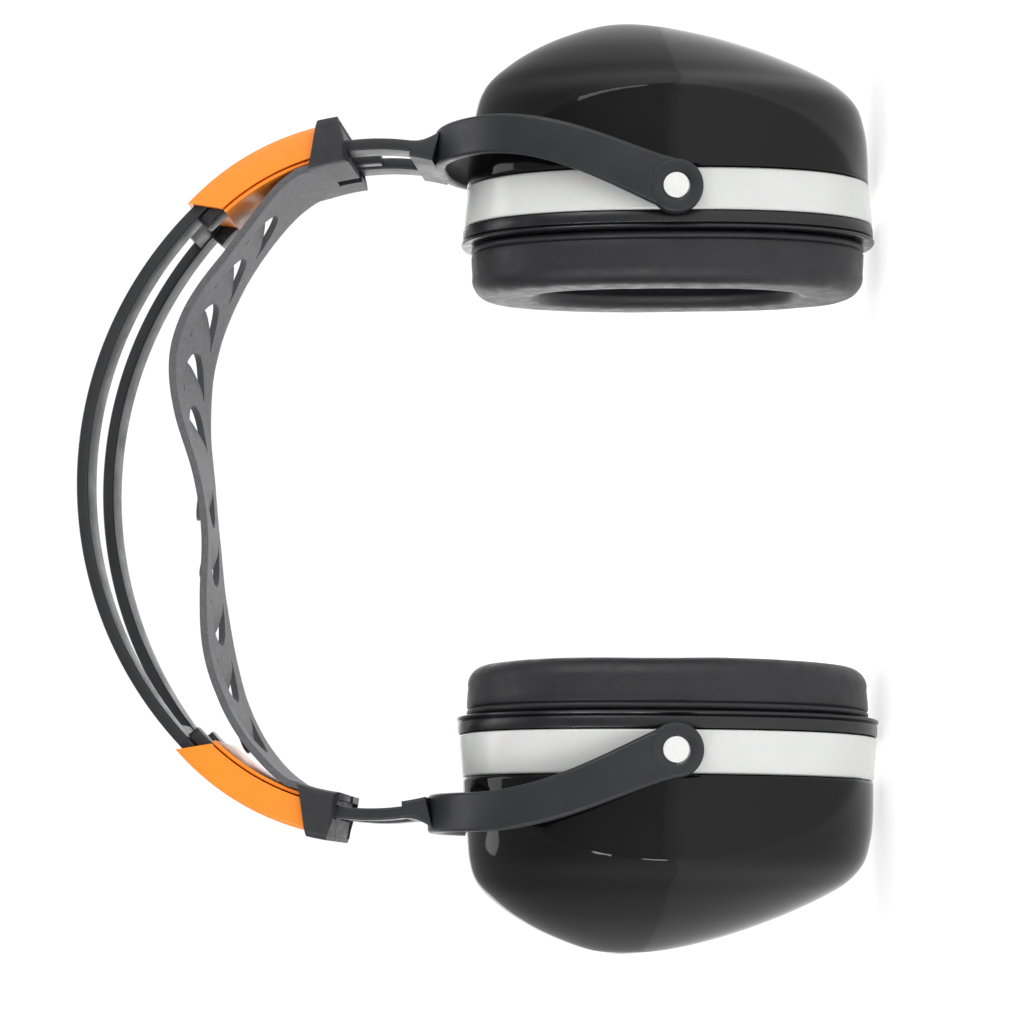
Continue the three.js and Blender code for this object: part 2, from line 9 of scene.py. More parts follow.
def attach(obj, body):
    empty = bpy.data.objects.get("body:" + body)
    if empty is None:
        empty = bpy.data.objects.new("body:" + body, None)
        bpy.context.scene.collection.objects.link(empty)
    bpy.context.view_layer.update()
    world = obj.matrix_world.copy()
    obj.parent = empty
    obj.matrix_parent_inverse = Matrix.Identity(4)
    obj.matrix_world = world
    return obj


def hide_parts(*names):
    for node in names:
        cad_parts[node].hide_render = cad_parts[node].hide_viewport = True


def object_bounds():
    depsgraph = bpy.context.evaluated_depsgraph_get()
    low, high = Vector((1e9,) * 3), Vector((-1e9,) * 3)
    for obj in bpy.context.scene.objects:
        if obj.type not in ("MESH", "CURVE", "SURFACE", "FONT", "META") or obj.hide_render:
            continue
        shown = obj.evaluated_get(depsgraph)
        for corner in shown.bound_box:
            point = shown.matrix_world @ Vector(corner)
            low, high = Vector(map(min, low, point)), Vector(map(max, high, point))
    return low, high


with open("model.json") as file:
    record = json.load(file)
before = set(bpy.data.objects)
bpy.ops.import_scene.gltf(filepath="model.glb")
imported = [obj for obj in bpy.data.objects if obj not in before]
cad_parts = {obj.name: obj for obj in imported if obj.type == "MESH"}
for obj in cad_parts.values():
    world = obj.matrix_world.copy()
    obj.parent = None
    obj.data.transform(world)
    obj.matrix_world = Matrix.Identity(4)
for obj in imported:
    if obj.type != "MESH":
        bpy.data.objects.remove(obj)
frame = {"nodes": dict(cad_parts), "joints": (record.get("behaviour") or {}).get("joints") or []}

CAD_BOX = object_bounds()
MM = 0.001
SIDES = {"left": 1, "right": -1}
GAP = 0.3


def joint(name):
    return next(j for j in frame["joints"] if j["name"] == name)


# Driving sizes, in millimetres. The pivot, the toe-in and the side arc come from the frame.
TILT = joint("left_cup_tilt")
SLIDE = joint("left_height_slide")
PIVOT_X = TILT["pos_m"][0] / MM
TOE = math.atan2(-TILT["axis"][0], -TILT["axis"][1])
SIDE_X = SLIDE["pos_m"][0] / MM
SIDE_Z = SLIDE["pos_m"][2] / MM
CROWN_RADIUS = 101
SIDE_RADIUS = 64.4
CROWN_Z = 48.6
JOIN = math.radians(44)
RAIL_INNER_Y = 8.5
RAIL_OUTER_Y = 18
RAIL_THICKNESS = 2.9
BAND_END = math.radians(79.4)
CROSSPIECE = (39.6, 43.2)
STEM_TOP = -3.2
STEM_BOTTOM = -6.1
STEM_TIP = math.radians(41)
STEM_END = math.radians(103.8)
STEM_TIP_LENGTH = math.radians(3)
SLIDER_TOP = 1.3
SLIDER_END = math.radians(79.8)
SLIDER_HALF_WIDTH = 20
CATCH = (2.6, 7)
CATCH_SPAN = (math.radians(70), math.radians(88.5))
SLEEVE_TOP = 2.6
SLEEVE_HALF_WIDTH = 22
PAST_SLEEVE = math.radians(90)
NOTCH_START = math.radians(76.5)
END_WALL = (math.radians(80.15), math.radians(81.35))
END_WALL_REACH = 20.6
STRAP_THICKNESS = 1.7
STRAP_TOP = -7.7
STRAP_BOTTOM = STRAP_TOP - STRAP_THICKNESS
STRAP_HALF_WIDTH = 19
STRAP_EDGE = 0.4
CUP_Z = 1.9
CUP_LENGTH = 52.4
CUP_DEPTH = 35.5
CUP_POWER = 2.4
DOME_POWER = 2
EAR_LENGTH = 31.5
EAR_DEPTH = 17.6
AROUND = 264


# ---------------------------------------------------------------- materials

class Surface:
    """A Principled material with a few nodes for grain and wear."""

    def __init__(self, name, colour, roughness, **sockets):
        self.material = bpy.data.materials.new(name)
        self.material.use_nodes = True
        self.nodes = self.material.node_tree.nodes
        self.links = self.material.node_tree.links
        self.shader = self.nodes["Principled BSDF"]
        self.shader.inputs["Base Color"].default_value = (*colour, 1)
        self.shader.inputs["Roughness"].default_value = roughness
        self.colour = colour
        for socket, value in sockets.items():
            self.shader.inputs[socket.replace("_", " ")].default_value = value
        self.place = self.nodes.new("ShaderNodeTexCoord").outputs["Object"]

    def noise(self, per_metre, detail=4, rough=0.55):
        node = self.nodes.new("ShaderNodeTexNoise")
        node.inputs["Scale"].default_value = per_metre
        node.inputs["Detail"].default_value = detail
        node.inputs["Roughness"].default_value = rough
        self.links.new(self.place, node.inputs["Vector"])
        return node.outputs["Fac"]

    def cells(self, per_metre):
        node = self.nodes.new("ShaderNodeTexVoronoi")
        node.inputs["Scale"].default_value = per_metre
        self.links.new(self.place, node.inputs["Vector"])
        return node.outputs["Distance"]

    def spread(self, value, low, high, start=0.3, stop=0.7):
        node = self.nodes.new("ShaderNodeMapRange")
        node.inputs["From Min"].default_value = start
        node.inputs["From Max"].default_value = stop
        node.inputs["To Min"].default_value = low
        node.inputs["To Max"].default_value = high
        self.links.new(value, node.inputs["Value"])
        return node.outputs["Result"]

    def vary_roughness(self, value, low, high):
        self.links.new(self.spread(value, low, high), self.shader.inputs["Roughness"])
        return self

    def vary_colour(self, value, dark, light):
        ramp = self.nodes.new("ShaderNodeValToRGB")
        for stop, share, position in zip(ramp.color_ramp.elements, (dark, light), (0.32, 0.68)):
            stop.position = position
            stop.color = (*(min(c * share, 1) for c in self.colour), 1)
        self.links.new(value, ramp.inputs["Fac"])
        self.links.new(ramp.outputs["Color"], self.shader.inputs["Base Color"])
        return self

    def bump(self, *layers):
        normal = None
        for value, height in layers:
            node = self.nodes.new("ShaderNodeBump")
            node.inputs["Strength"].default_value = 1
            node.inputs["Distance"].default_value = height * MM
            self.links.new(value, node.inputs["Height"])
            if normal is not None:
                self.links.new(normal, node.inputs["Normal"])
            normal = node.outputs["Normal"]
        self.links.new(normal, self.shader.inputs["Normal"])
        return self


def satin_black():
    s = Surface("satin_black_plastic", (0.016, 0.0165, 0.0195), 0.42, Specular_IOR_Level=0.4)
    s.vary_colour(s.noise(60), 0.85, 1.2)
    s.vary_roughness(s.noise(140, 6), 0.34, 0.5)
    return s.bump((s.noise(2600, 2), 0.014), (s.noise(160), 0.03)).material


def gloss_black():
    s = Surface("gloss_black_plastic", (0.0032, 0.0032, 0.0036), 0.05, IOR=1.33)
    s.vary_roughness(s.noise(90, 8, 0.7), 0.035, 0.085)
    return s.bump((s.noise(70, 1), 0.035)).material


def rim_black():
    s = Surface("rim_black_plastic", (0.006, 0.006, 0.0075), 0.3)
    s.vary_roughness(s.noise(200, 6), 0.22, 0.4)
    return s.bump((s.noise(1800, 3), 0.012)).material


def ring_white():
    s = Surface(
        "ring_white_plastic", (0.66, 0.665, 0.655), 0.2,
        Subsurface_Weight=0.25, Subsurface_Scale=0.002,
    )
    s.vary_colour(s.noise(45, 3), 0.955, 1.02)
    s.vary_roughness(s.noise(240, 8, 0.7), 0.13, 0.3)
    return s.bump((s.noise(130, 3), 0.025)).material


# Painted light: the pins' white is made lighter than the ring's white plastic, standing in for the brighter
# light on the pin discs.
def pin_lit_white():
    s = Surface("pin_white_plastic", (0.74, 0.74, 0.725), 0.3)
    s.vary_colour(s.noise(300), 0.96, 1.02)
    s.vary_roughness(s.noise(600, 5), 0.22, 0.38)
    return s.bump((s.noise(900), 0.02)).material


def orange():
    s = Surface(
        "orange_plastic", (1.0, 0.275, 0.016), 0.33,
        Subsurface_Weight=0.12, Subsurface_Scale=0.0015,
    )
    s.vary_colour(s.noise(70, 3), 0.93, 1.0)
    s.vary_roughness(s.noise(220, 6), 0.26, 0.42)
    return s.bump((s.noise(2200, 2), 0.012), (s.noise(180), 0.02)).material


def strap_grey():
    s = Surface("strap_grey_rubber", (0.088, 0.088, 0.093), 0.7, Sheen_Weight=0.15)
    s.vary_colour(s.noise(1500, 6, 0.75), 0.72, 1.3)
    s.vary_roughness(s.noise(500, 4), 0.6, 0.85)
    return s.bump((s.noise(3200, 3, 0.7), 0.06), (s.noise(300, 3), 0.04)).material


# Painted shade: a darker copy of the strap's grey rubber for the sleeve's sides and its end walls, standing
# in for the shade that falls on them.
def sleeve_painted_shade():
    s = Surface("sleeve_charcoal_rubber", (0.0135, 0.0135, 0.0175), 0.55)
    s.vary_colour(s.noise(1300, 5, 0.7), 0.8, 1.2)
    s.vary_roughness(s.noise(400, 4), 0.45, 0.68)
    return s.bump((s.noise(3000, 3, 0.7), 0.04)).material


def cushion_skin():
    s = Surface("cushion_vinyl", (0.0085, 0.0085, 0.0105), 0.46, Sheen_Weight=0.03)
    s.vary_colour(s.noise(110, 4), 0.85, 1.2)
    s.vary_roughness(s.noise(260, 5), 0.4, 0.58)
    return s.bump((s.cells(2400), 0.03), (s.noise(150, 3), 0.12)).material


def foam():
    s = Surface("open_cell_foam", (0.09, 0.09, 0.095), 0.95)
    s.vary_colour(s.noise(700, 6, 0.75), 0.6, 1.4)
    s.vary_roughness(s.noise(900), 0.85, 1.0)
    return s.bump((s.cells(900), 0.5), (s.cells(2200), 0.25)).material


FINISHES = {
    "satin": (satin_black(), "black_satin_plastic"),
    "gloss": (gloss_black(), "black_gloss_plastic"),
    "rim": (rim_black(), "black_satin_plastic"),
    "ring": (ring_white(), "white_plastic"),
    # The pins' white is the ring's white lightened as painted light.
    "pin": (pin_lit_white(), "pin_white_plastic"),
    "orange": (orange(), "orange_plastic"),
    "strap": (strap_grey(), "grey_soft_rubber"),
    # The sleeve's finish is the strap's grey rubber darkened as painted shade.
    "sleeve": (sleeve_painted_shade(), "grey_soft_rubber"),
    "cushion": (cushion_skin(), "black_cushion_skin"),
    "foam": (foam(), "grey_foam"),
}


# ---------------------------------------------------------------- mesh making

def shade(mesh, sharp_over):
    """Smooth faces, with edges over that many degrees left sharp."""
    build = bmesh.new()
    build.from_mesh(mesh)
    bmesh.ops.recalc_face_normals(build, faces=build.faces)
    for face in build.faces:
        face.smooth = True
    for edge in build.edges:
        bent = len(edge.link_faces) == 2 and edge.calc_face_angle(0) > math.radians(sharp_over)
        edge.smooth = not bent
    build.to_mesh(mesh)
    build.free()


def make(name, shells, finish, sharp_over=40):
    """One object from several (points, faces) shells, given in millimetres."""
    points, faces = [], []
    for shell_points, shell_faces in shells:
        first = len(points)
        points += [Vector(p) * MM for p in shell_points]
        faces += [[i + first for i in face] for face in shell_faces]
    mesh = bpy.data.meshes.new(name)
    mesh.from_pydata(points, [], faces)
    mesh.materials.append(FINISHES[finish][0])
    shade(mesh, sharp_over)
    piece = bpy.data.objects.new(name, mesh)
    bpy.context.scene.collection.objects.link(piece)
    return piece


def place(piece, body, *nodes):
    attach(piece, body)
    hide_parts(*nodes)
    return piece


def rounded(left, right, bottom, top, radius, corner=4):
    """The closed outline of a rectangle with round corners."""
    centres = (
        (right - radius, top - radius, 0),
        (left + radius, top - radius, 90),
        (left + radius, bottom + radius, 180),
        (right - radius, bottom + radius, 270),
    )
    turns = [90 * i / corner for i in range(corner + 1)]
    return [
        (x + radius * math.cos(math.radians(start + turn)), y + radius * math.sin(math.radians(start + turn)))
        for x, y, start in centres
        for turn in turns
    ]


def rings(rows, closed=False):
    """Faces between rows of equally many points. Open rows get an end cap each."""
    points = [p for row in rows for p in row]
    count, last = len(rows[0]), len(rows)
    faces = []
    for r in range(last if closed else last - 1):
        a, b = r * count, ((r + 1) % last) * count
        faces += [(a + i, a + (i + 1) % count, b + (i + 1) % count, b + i) for i in range(count)]
    if not closed:
        faces += [tuple(range(count))[::-1], tuple(range((last - 1) * count, last * count))]
    return points, faces


def sweep(section, route, start, end, steps):
    """The section carried along a route; its ends may slant with height."""
    rows = []
    for step in range(steps + 1):
        row = []
        for across, height in section:
            first = start(height) if callable(start) else start
            final = end(height) if callable(end) else end
            row.append(route(first + (final - first) * step / steps, across, height))
        rows.append(row)
    return rings(rows)


def slant(bottom, at_bottom, top, at_top):
    """An angle that changes evenly with height, in radians, from degrees."""
    low, high = math.radians(at_bottom), math.radians(at_top)
    return lambda height: low + (high - low) * (height - bottom) / (top - bottom)


def flip(shell, side):
    """The wearer's right side is the left one in a mirror."""
    points, faces = shell
    return [(side * x, y, z) for x, y, z in points], faces


# ---------------------------------------------------------------- headband

def band_point(angle, y, height):
    side = 1 if angle >= 0 else -1
    turn = abs(angle)
    crown = turn <= JOIN
    share = min((1 - math.cos(turn)) / (1 - math.cos(JOIN)), 1)
    radius = (CROWN_RADIUS if crown else SIDE_RADIUS) + height + y * math.tan(TOE) * share
    x = (0 if crown else SIDE_X) + radius * math.sin(turn)
    return side * x, y, (CROWN_Z if crown else SIDE_Z) + radius * math.cos(turn)


def side_point(angle, y, height):
    radius = SIDE_RADIUS + height + y * math.tan(TOE)
    return SIDE_X + radius * math.sin(angle), y, SIDE_Z + radius * math.cos(angle)


def rail_pair(route, bottom, top, start, end, steps):
    spans = ((RAIL_INNER_Y, RAIL_OUTER_Y), (-RAIL_OUTER_Y, -RAIL_INNER_Y))
    return [sweep(rounded(a, b, bottom, top, 0.55), route, start, end, steps) for a, b in spans]


def band_frame():
    shells = rail_pair(band_point, -RAIL_THICKNESS, 0, -BAND_END, BAND_END, 150)
    plate = rounded(-RAIL_INNER_Y - 1, RAIL_INNER_Y + 1, -2.6, -0.3, 0.3)
    start, end = CROSSPIECE
    for low, high in ((start, end), (-end, -start)):
        shells.append(sweep(plate, band_point, math.radians(low), math.radians(high), 8))
    place(make("band_rails", shells, "satin"), "headband", "band_frame")


def housing_outline():
    """The adjuster's section: a rounded block with a channel underneath for each rail."""
    half, low, top, round_by = SLIDER_HALF_WIDTH, STEM_BOTTOM, SLIDER_TOP, 1.1
    outer = rounded(-half, half, low, top, round_by, 5)
    upper = [p for p in outer if p[1] > (low + top) / 2]
    roof = GAP
    inner, far = RAIL_INNER_Y - GAP, RAIL_OUTER_Y + GAP
    under = [(-half, low), (-far, low), (-far, roof), (-inner, roof), (-inner, low)]
    return upper + under + [(inner, low), (inner, roof), (far, roof), (far, low), (half, low)]


def adjuster(name, side):
    inner = slant(STEM_BOTTOM, 47, SLIDER_TOP, 42)
    body = sweep(housing_outline(), side_point, inner, SLIDER_END, 48)
    piece = make(f"{name}_adjuster_body", [flip(body, side)], "orange", 30)
    place(piece, "headband", f"{name}_slider_housing")
    half = SLIDER_HALF_WIDTH - 0.6
    floor = rounded(-half, half, -7.4, -6.4, 0.35)
    cover = sweep(floor, side_point, math.radians(47), SLIDER_END, 40)
    piece = make(f"{name}_adjuster_floor", [flip(cover, side)], "orange", 30)
    place(piece, "headband", f"{name}_slider_cover")
    bar = sweep(rounded(*CATCH, -5.8, STEM_TOP, 0.5), side_point, *CATCH_SPAN, 16)
    piece = make(f"{name}_catch", [flip(bar, side)], "satin")
    place(piece, "headband", f"{name}_height_catch")


# ---------------------------------------------------------------- strap

class Route:
    """A smooth curve through points, walked by its length."""

    def __init__(self, knots, fine=24):
        ends = [knots[0] * 2 - knots[1], *knots, knots[-1] * 2 - knots[-2]]
        self.dots = []
        for a, b, c, d in zip(ends, ends[1:], ends[2:], ends[3:]):
            for i in range(fine):
                t = i / fine
                turn = (c - a) * t + (a * 2 - b * 5 + c * 4 - d) * t * t
                turn += (b * 3 - a - c * 3 + d) * t ** 3
                self.dots.append(b + turn / 2)
        self.dots.append(knots[-1].copy())
        self.marks = [0]
        for a, b in zip(self.dots, self.dots[1:]):
            self.marks.append(self.marks[-1] + (b - a).length)
        self.length = self.marks[-1]

    def at(self, distance):
        distance = min(max(distance, 0), self.length)
        i = next(k for k in range(1, len(self.marks)) if self.marks[k] >= distance)
        share = (distance - self.marks[i - 1]) / (self.marks[i] - self.marks[i - 1])
        return self.dots[i - 1].lerp(self.dots[i], share)

    def heading(self, distance):
        return (self.at(distance + 1) - self.at(distance - 1)).normalized()


STRAP_ROUTE = [
    (-73, 101), (-65.5, 107.2), (-56, 112.2), (-44, 115.9), (-30, 117.8), (-15, 118.7), (0, 120.8),
    (15, 124), (28, 124.8), (38, 122.9), (47, 119.1), (57, 113), (66, 106.7), (73, 101),
]


def strap_route():
    middle = (STRAP_TOP + STRAP_BOTTOM) / 2
    ends = [side_point(math.radians(a), 0, middle) for a in (68, 71, 74)]
    left = [Vector((x, 0, z)) for x, _, z in ends]
    right = [Vector((-p.x, 0, p.z)) for p in reversed(left)]
    return Route(right + [Vector((x, 0, z)) for x, z in STRAP_ROUTE] + left)


STRAP = strap_route()
STRAP_MIDDLE = STRAP.length / 2
STRAP_IN_SLEEVE = 1.6
WAVE_HEIGHT = 2.1
WAVE_REACH = 72
WAVE_START = 14
WAVE_LENGTH = 100


def strap_wave(x):
    """How far the strap's front edge buckles outwards of its middle."""
    fade = max(1 - (x / WAVE_REACH) ** 2, 0)
    return WAVE_HEIGHT * fade * math.sin(2 * math.pi * (x - WAVE_START) / WAVE_LENGTH)


def smooth(value, low, high):
    """0 below low, 1 above high and an even blend between."""
    share = min(max((value - low) / (high - low), 0), 1)
    return share * share * (3 - 2 * share)


def strap_point(distance, y, height):
    point = STRAP.at(distance)
    heading = STRAP.heading(distance)
    outward = Vector((-heading.z, 0, heading.x))
    from_middle = abs(distance / STRAP_MIDDLE - 1)
    share = min(from_middle * 1.6, 1)
    y *= 1 + 0.08 * smooth(from_middle, 0.6, 0.94)
    lift = height + y * math.tan(TOE) * share ** 2
    lift -= strap_wave(point.x) * y / STRAP_HALF_WIDTH
    moved = point + outward * lift
    return moved.x, y, moved.z


SLIT_HALF_WIDTH = 10.5
SLIT_LENGTH = 11.5
SLIT_OPENING = 2.6
SLIT_TIP = 0.8
TONGUE_LIFT = 2.6
SLITS = [(STRAP_MIDDLE + 13 + 14 * i, 1) for i in range(5)]
SLITS += [(STRAP_MIDDLE - 8 - 15.2 * i, -1) for i in range(5)]


def crescent(distance, facing):
    """A slit's cutter: an arch whose two arcs nearly meet at its tips."""
    turns = [math.pi * i / 24 for i in range(25)]
    outer = [(SLIT_HALF_WIDTH * math.cos(t), SLIT_LENGTH * math.sin(t)) for t in turns]
    narrow, short = SLIT_HALF_WIDTH - SLIT_TIP, SLIT_LENGTH - SLIT_OPENING
    inner = [(narrow * math.cos(t), short * math.sin(t)) for t in reversed(turns)]
    rows = []
    for height in (-4, 4):
        rows.append([
            strap_point(distance + facing * (up - SLIT_LENGTH / 2), across, height)
            for across, up in outer + inner
        ])
    return rings(rows)


def spring_tongues(piece):
    """Bends each slit's tongue a little away from the head, most at its tip."""
    short = SLIT_LENGTH - SLIT_OPENING
    for distance, facing in SLITS:
        root = Vector(strap_point(distance - facing * SLIT_LENGTH / 2, 0, 0))
        heading = STRAP.heading(distance) * facing
        outward = Vector((-STRAP.heading(distance).z, 0, STRAP.heading(distance).x))
        for vertex in piece.data.vertices:
            from_root = vertex.co / MM - root
            up, away = from_root.dot(heading), from_root.dot(outward)
            across = from_root.y / (SLIT_HALF_WIDTH - 0.4)
            inside = across ** 2 + (max(up, 0) / (short + 0.6)) ** 2 < 1
            if inside and up > 0 and abs(away) < 4:
                vertex.co += outward * TONGUE_LIFT * smooth(up, 0, short * 1.25) * MM


def subtract(piece, cutter):
    modifier = piece.modifiers.new("cut", "BOOLEAN")
    modifier.operation = "DIFFERENCE"
    modifier.solver = "EXACT"
    modifier.object = cutter
    bpy.context.view_layer.objects.active = piece
    bpy.ops.object.modifier_apply(modifier=modifier.name)
    bpy.data.objects.remove(cutter)


def corner_cut(across, half, radius=3):
    """How far a rounded corner draws an end back, in millimetres."""
    over = max(abs(across) - (half - radius), 0)
    return radius - math.sqrt(max(radius ** 2 - over ** 2, 0))


def sleeve():
    """The strap's closed loop round an adjuster, as one wall."""
    start = slant(STRAP_BOTTOM, 71.7, SLEEVE_TOP, 77)
    end = slant(STRAP_BOTTOM, 83, SLEEVE_TOP, 81.4)
    half, hollow = SLEEVE_HALF_WIDTH, SLIDER_HALF_WIDTH + GAP
    outer = rounded(-half, half, STRAP_BOTTOM, SLEEVE_TOP, 1.6, 6)
    inner = rounded(-hollow, hollow, STRAP_TOP, SLIDER_TOP + GAP, 0.5, 6)
    rows = {"outer": [], "inner": []}
    steps = 18
    for step in range(steps + 1):
        for which, outline_points in (("outer", outer), ("inner", inner)):
            row = []
            for across, height in outline_points:
                low = max(1 - (height - STRAP_BOTTOM) / 3, 0)
                drawn = low * corner_cut(across, half) / SIDE_RADIUS
                first, final = start(height), end(height) - drawn
                row.append(side_point(first + (final - first) * step / steps, across, height))
            rows[which].append(row)
    return rings(rows["outer"] + rows["inner"][::-1], closed=True)


def notch(side):
    """Cuts the sleeve's floor open where the catch comes out."""
    box = sweep(rounded(2.1, 7.8, STRAP_BOTTOM - 1, 0, 0.3), side_point, NOTCH_START, PAST_SLEEVE, 8)
    return make("notch_cutter", [flip(box, side)], "sleeve")


def end_wall(name, side):
    """The sleeve's outer end, with a window for each stem and one for the catch."""
    outline_points = rounded(-END_WALL_REACH, END_WALL_REACH, STRAP_TOP - GAP, SLIDER_TOP + 2 * GAP, 0.1, 1)
    plate = sweep(outline_points, side_point, *END_WALL, 3)
    wall = make(f"{name}_sleeve_end", [flip(plate, side)], "sleeve", 35)
    for left, right in ((-18.3, -8.2), (2.3, 7.3), (8.2, 18.3)):
        window = sweep(rounded(left, right, -6.4, -2.9, 0.2, 2), side_point, SLIDER_END, PAST_SLEEVE, 6)
        subtract(wall, make("window_cutter", [flip(window, side)], "sleeve"))
    shade(wall.data, 35)
    place(wall, "headband", "head_strap")


def lay_lit_and_shaded_sleeve(piece, side):
    """The faces that look towards the head get the strap's grey grain as the lit side; the other faces keep
    the darker copy of the same rubber as painted shade.
    """
    piece.data.materials.append(FINISHES["strap"][0])
    for face in piece.data.polygons:
        centre = face.center / MM
        inwards = Vector((side * SIDE_X - centre.x, 0, SIDE_Z - centre.z)).normalized()
        if face.normal.dot(inwards) > 0.7:
            face.material_index = 1


def head_strap():
    half = STRAP_THICKNESS / 2
    flat = STRAP_HALF_WIDTH - STRAP_EDGE
    across = [-flat + i * 2 * flat / 24 for i in range(25)]
    edge = [math.radians(a) for a in (60, 30, 0, -30, -60)]
    right = [(flat + STRAP_EDGE * math.cos(a), half * math.sin(a)) for a in edge]
    left = [(-x, -y) for x, y in right]
    section = [(y, half) for y in across] + right + [(y, -half) for y in reversed(across)] + left
    ribbon = sweep(section, strap_point, STRAP_IN_SLEEVE, STRAP.length - STRAP_IN_SLEEVE, 190)
    strap = make("soft_strap", [ribbon], "strap", 45)
    for number, (distance, facing) in enumerate(SLITS):
        subtract(strap, make(f"slit_cutter_{number}", [crescent(distance, facing)], "strap"))
    spring_tongues(strap)
    shade(strap.data, 40)
    place(strap, "headband", "head_strap")
    for name, side in SIDES.items():
        loop = make(f"{name}_strap_sleeve", [flip(sleeve(), side)], "sleeve", 35)
        subtract(loop, notch(side))
        shade(loop.data, 35)
        lay_lit_and_shaded_sleeve(loop, side)
        place(loop, "headband", "head_strap")
        end_wall(name, side)


# ---------------------------------------------------------------- yoke

def cup_point(x, y, z, side):
    """A point of a cup: x outwards from the pivot, before the toe-in."""
    turned_x = PIVOT_X + x * math.cos(TOE) + y * math.sin(TOE)
    return side * turned_x, y * math.cos(TOE) - x * math.sin(TOE), z


FORK_HALF_DEPTH = 37.2
FORK_TOP = 58.6
FORK_POWER = 2.7
FORK_STEEPNESS = 1.7
FORK_RISE = 48
FORK_OFFSET = 14.6
FORK_BOW = 1.15
FORK_HALF_WIDTH = 4.7
FORK_THICKNESS = 2.8
ARM_END_HALF_WIDTH = 6.6
ARM_FLARE_POWER = 1.5


def fork_point(along, across, height):
    """The fork's route, from -1 at the front eye over the cup to 1 at the rear."""
    turn = along * math.pi / 2
    power = 2 / FORK_POWER
    half_depth, top = FORK_HALF_DEPTH, FORK_TOP
    sine, cosine = math.sin(turn), abs(math.cos(turn))
    y = half_depth * math.copysign(abs(sine) ** power, sine)
    z = top * cosine ** power
    slope_y = math.copysign((abs(y) / half_depth) ** FORK_STEEPNESS, y) / half_depth
    slope_z = (z / top) ** FORK_STEEPNESS / top
    size = math.hypot(slope_y, slope_z)
    rise = min(z / FORK_RISE, 1)
    x = FORK_OFFSET * math.sin(rise * math.pi / 2) ** FORK_BOW
    across *= 1 + (ARM_END_HALF_WIDTH / FORK_HALF_WIDTH - 1) * (1 - rise) ** ARM_FLARE_POWER
    return cup_point(x - across, y + height * slope_y / size, z + height * slope_z / size, 1)


def lathe(profile, steps, end):
    """A profile of (radius, y) turned about the pivot's axis; end -1 is the front."""
    rows = []
    for radius, y in profile:
        turns = [2 * math.pi * i / steps for i in range(steps)]
        rows.append([
            cup_point(radius * math.cos(t), end * y, radius * math.sin(t), 1) for t in turns
        ])
    return rows


def round_edge(x, y, radius, start, stop, steps=4):
    """Points of an arc about (x, y), in degrees."""
    turns = [math.radians(start + (stop - start) * i / steps) for i in range(steps + 1)]
    return [(x + radius * math.cos(t), y + radius * math.sin(t)) for t in turns]


def tongue(angle, across, height):
    """A stem's route, drawn in round its tip so that it ends in a rounded tongue."""
    share = min((angle - STEM_TIP) / STEM_TIP_LENGTH, 1)
    narrow = 0.55 + 0.45 * math.sqrt(max(1 - (1 - share) ** 2, 0))
    middle = math.copysign((RAIL_INNER_Y + RAIL_OUTER_Y) / 2, across)
    return side_point(angle, middle + (across - middle) * narrow, height)


WEB_START = math.radians(98.4)
WEB_END = math.radians(104.4)
WEB_SWELL = 3.6


def web_point(angle, across, height):
    """The web between stems and fork, which swells out to meet the fork's crown."""
    share = (angle - WEB_START) / (WEB_END - WEB_START)
    swell = WEB_SWELL * share * share if height > STEM_BOTTOM else 0
    return side_point(angle, across, height + swell)


def yoke(name, side):
    shells = rail_pair(tongue, STEM_BOTTOM, STEM_TOP, STEM_TIP, STEM_END, 120)
    half = RAIL_OUTER_Y + 0.15
    web = rounded(-half, half, STEM_BOTTOM - 1.2, STEM_TOP + 0.1, 0.8)
    shells.append(sweep(web, web_point, WEB_START, WEB_END, 12))
    arms = rounded(-FORK_HALF_WIDTH, FORK_HALF_WIDTH, 0, FORK_THICKNESS, 0.9, 5)
    shells.append(sweep(arms, fork_point, -1, 1, 150))
    eye = [(3.45, FORK_HALF_DEPTH), (6.55, FORK_HALF_DEPTH)]
    eye += [*round_edge(5.7, 39.2, 0.85, 0, 90), (3.75, 40.05), (3.45, 39.9)]
    shells += [rings(lathe(eye, 72, end), closed=True) for end in (1, -1)]
    piece = make(f"{name}_bail", [flip(shell, side) for shell in shells], "satin", 45)
    place(piece, f"{name}_yoke", f"{name}_yoke")


def pins(name, side):
    for word, end in (("front", -1), ("rear", 1)):
        tip = [(3.15, 30.8), *round_edge(2.7, 39.7, 0.45, 0, 90), (1.6, 40.2), (0.05, 40.22)]
        head = [(0.05, 29.3), (4.35, 29.3), (4.35, 30.8)]
        shell = rings(lathe(head + tip, 64, end))
        piece = make(f"{name}_{word}_pin", [flip(shell, side)], "pin", 35)
        place(piece, f"{name}_cup", f"{name}_{word}_pivot_pin")


# ---------------------------------------------------------------- cup

def bend(value):
    return math.copysign(abs(value) ** (2 / CUP_POWER), value)


def outline(x, length, depth, middle=CUP_Z, count=AROUND):
    """One level of a cup: an oval in the plane across the cup's axis."""
    turns = [2 * math.pi * i / count for i in range(count)]
    return [
        cup_point(x, depth * bend(math.sin(t)), middle + length * bend(math.cos(t)), 1) for t in turns
    ]


def hoop(profile):
    """A closed band round the cup from (x, half length, half depth) points."""
    return rings([outline(*level) for level in profile], closed=True)


def pivot_ring(name, side):
    back, front, wall = -5.05, 5.35, 3.4
    profile = []
    for x, inset in rounded(back, front, 0, wall, 0.6, 4):
        drawn = inset + (x - back) / (front - back)
        profile.append((x, CUP_LENGTH - drawn, CUP_DEPTH - drawn))
    piece = make(f"{name}_ring", [flip(hoop(profile), side)], "ring", 35)
    place(piece, f"{name}_cup", f"{name}_pivot_ring")


